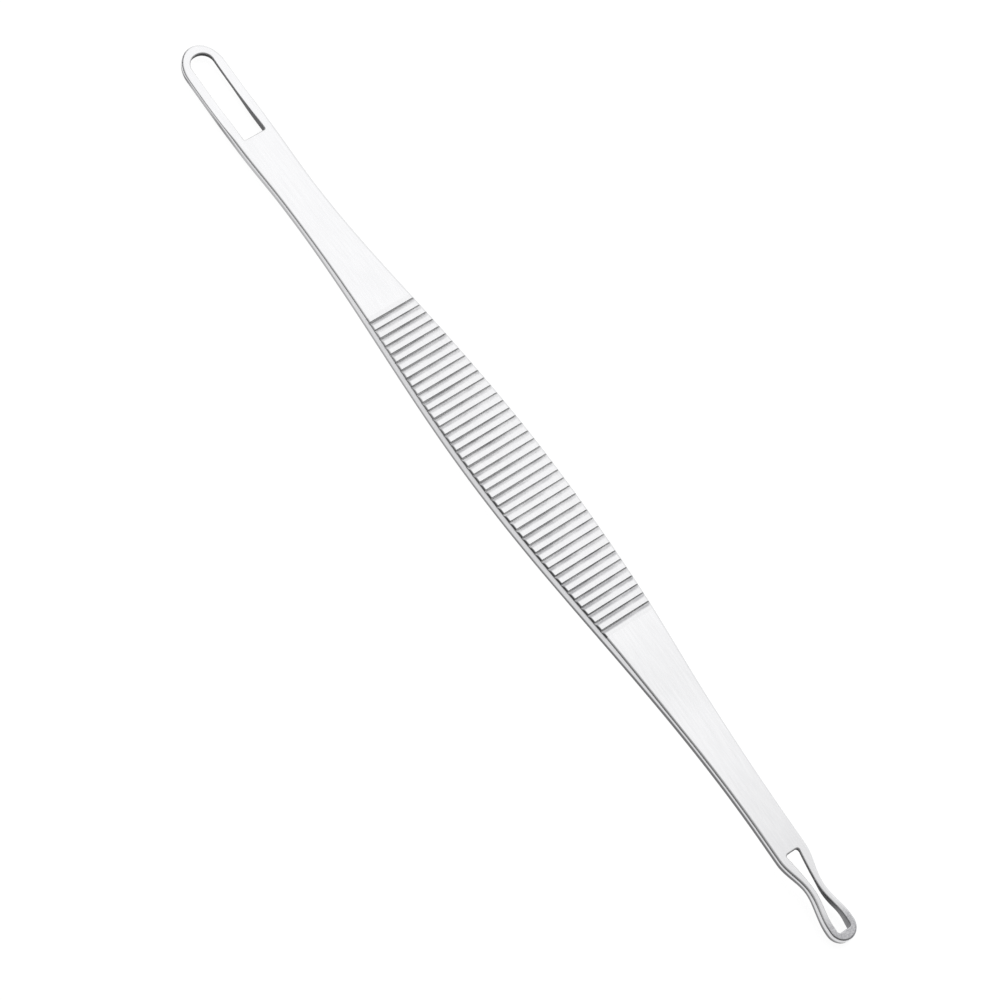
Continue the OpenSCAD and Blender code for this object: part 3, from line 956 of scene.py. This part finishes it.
# %% Ride and replace
ZONES = {"big_loop": (big_loop, "polished_steel"), "big_neck": (big_neck, "polished_steel"),
         "ribbed_grip": (grip, "grooved_steel"), "small_neck": (small_neck, "polished_steel"),
         "small_loop": (small_loop, "polished_steel")}
for node, (part, finish) in ZONES.items():
    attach(part, "root")
    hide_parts(node)
    print(part.name, "stands for", node)

# %% [markdown]
# ## Table and light
#
# Polished steel shows the room more than itself. The tool lies on a plain white table in a
# bright studio: a large soft lamp hangs over the far left, where the grip mirrors it, and
# the walls of the room stay darker than the ceiling, which gives the softened edges their
# thin dark lines. The small loop is bent away from the lamp and turns grey. One end of the
# room is dark, and the round of the big tip mirrors it.


# %% Table
TABLE_SIDE = 3.0        # metres
PAPER = linear("#808080")
PAPER_GLOW = 0.92       # what the camera and mirrors see, added to the lit paper


def table():
    """White paper that keeps the tool's shadow and throws little light back at it."""
    mesh = bpy.data.meshes.new("table")
    half = TABLE_SIDE / 2
    mesh.from_pydata([(-half, -half, 0), (half, -half, 0), (half, half, 0), (-half, half, 0)],
                     [], [(0, 1, 2, 3)])
    obj = piece("table", mesh)
    material = bpy.data.materials.new("white_paper")
    material.use_nodes = True
    tree = material.node_tree
    tree.nodes.clear()
    ray = add(tree, "ShaderNodeLightPath").outputs
    seen = ray["Is Camera Ray"]
    for kind in ("Is Glossy Ray", "Is Transmission Ray"):
        seen = add(tree, MATH, (seen, ray[kind]), operation="MAXIMUM")
    strength = add(tree, MATH, (seen, PAPER_GLOW), operation="MULTIPLY")
    paper = add(tree, "ShaderNodeBsdfDiffuse", {"Color": PAPER})
    glow = add(tree, "ShaderNodeEmission", {"Color": (1, 1, 1, 1), "Strength": strength})
    both = add(tree, "ShaderNodeAddShader", (paper, glow))
    add(tree, "ShaderNodeOutputMaterial", {"Surface": both})
    mesh.materials.append(material)
    return obj


print(table().name, "is", TABLE_SIDE, "m wide")


# %% Lamp and room
LAMP_SIZE, LAMP_POWER = (0.5, 0.45), 0.15       # metres and watts
LAMP_PLACE = (-0.19, 0.245, 0.6)                # metres
BRIGHT_SIDE = (-0.74, 0.59, 0.32)               # directions from the tool
DARK_END = (-0.93, -0.35, 0.1)
# how squarely a direction faces the dark end where the dark starts and where it is full,
# and the light that is left there
DARK_FROM, DARK_FULL, DARK_LEVEL = 0.7, 0.92, 0.06
# places and brightness in the room, from 0 straight away from its bright side to 1 at it
ROOM = ((0.33, 0.16), (0.45, 0.27), (0.56, 0.46), (0.655, 0.6), (0.7, 0.79), (0.73, 1.01),
        (0.765, 1.07), (0.85, 1.09))


def softbox():
    """The lamp over the far left, aimed at the tool."""
    lamp = bpy.data.lights.new("ceiling_softbox", "AREA")
    lamp.shape = "RECTANGLE"
    lamp.size, lamp.size_y = LAMP_SIZE
    lamp.energy = LAMP_POWER
    obj = bpy.data.objects.new("ceiling_softbox", lamp)
    bpy.context.scene.collection.objects.link(obj)
    obj.location = LAMP_PLACE
    obj.rotation_euler = (-obj.location).to_track_quat("-Z", "Y").to_euler()
    return lamp


def studio():
    """The room that the steel mirrors."""
    world = bpy.data.worlds.new("studio")
    bpy.context.scene.world = world
    world.use_nodes = True
    tree = world.node_tree
    tree.nodes.clear()
    toward = add(tree, "ShaderNodeTexCoord").outputs["Generated"]
    turned, door = [add(tree, "ShaderNodeVectorMath", (toward, side), operation="DOT_PRODUCT")
                    for side in (BRIGHT_SIDE, DARK_END)]
    share = add(tree, "ShaderNodeMapRange", {"Value": turned, "From Min": -1.0})
    room = add(tree, "ShaderNodeValToRGB", (share,))
    stops = room.color_ramp.elements
    while len(stops) < len(ROOM):
        stops.new(0.5)
    for stop, (place, level) in zip(stops, ROOM):
        stop.position, stop.color = place, (level, level, level, 1)
    dim = add(tree, "ShaderNodeMapRange",
              {"Value": door, "From Min": DARK_FROM, "From Max": DARK_FULL, "To Min": 1.0,
               "To Max": DARK_LEVEL})
    air = add(tree, "ShaderNodeBackground", {"Color": room, "Strength": dim})
    add(tree, "ShaderNodeOutputWorld", {"Surface": air})


print("lamp power:", round(softbox().energy, 2), "W")
studio()

# %% [markdown]
# ## Camera
#
# The photograph is a close view from above the near long edge, with the big loop at the
# top left. The camera's place, its turn and its lens come from fitting the forty grooves
# and the edges of the tool, at its real length, to the picture.


# %% Camera
LENS, SENSOR = 138.88, 36.0             # mm
SHIFT_X, SHIFT_Y = -0.0126, -0.0321     # in widths of the picture
EYE = (79.82, -109.56, 266.79)          # in mm, from the middle of the grip's face
RIGHT, HIGH, BACK = ((0.584638, 0.796863, 0.152340), (-0.766197, 0.480586, 0.426590),
                     (0.266722, -0.366124, 0.891523))


def camera():
    """A long lens above the near edge."""
    data = bpy.data.cameras.new("camera")
    data.sensor_width, data.lens = SENSOR, LENS
    data.clip_start, data.clip_end = 0.01, 10.0
    data.shift_x, data.shift_y = SHIFT_X, SHIFT_Y
    obj = bpy.data.objects.new("camera", data)
    bpy.context.scene.collection.objects.link(obj)
    axes = STOOD.to_quaternion().to_matrix() @ Matrix((RIGHT, HIGH, BACK)).transposed()
    obj.matrix_world = Matrix.Translation(STOOD @ Vector(EYE)) @ axes.to_4x4()
    bpy.context.scene.camera = obj
    return obj


print("camera at", [round(v, 3) for v in camera().matrix_world.translation], "m")
bpy.context.scene.view_settings.view_transform = "Standard"
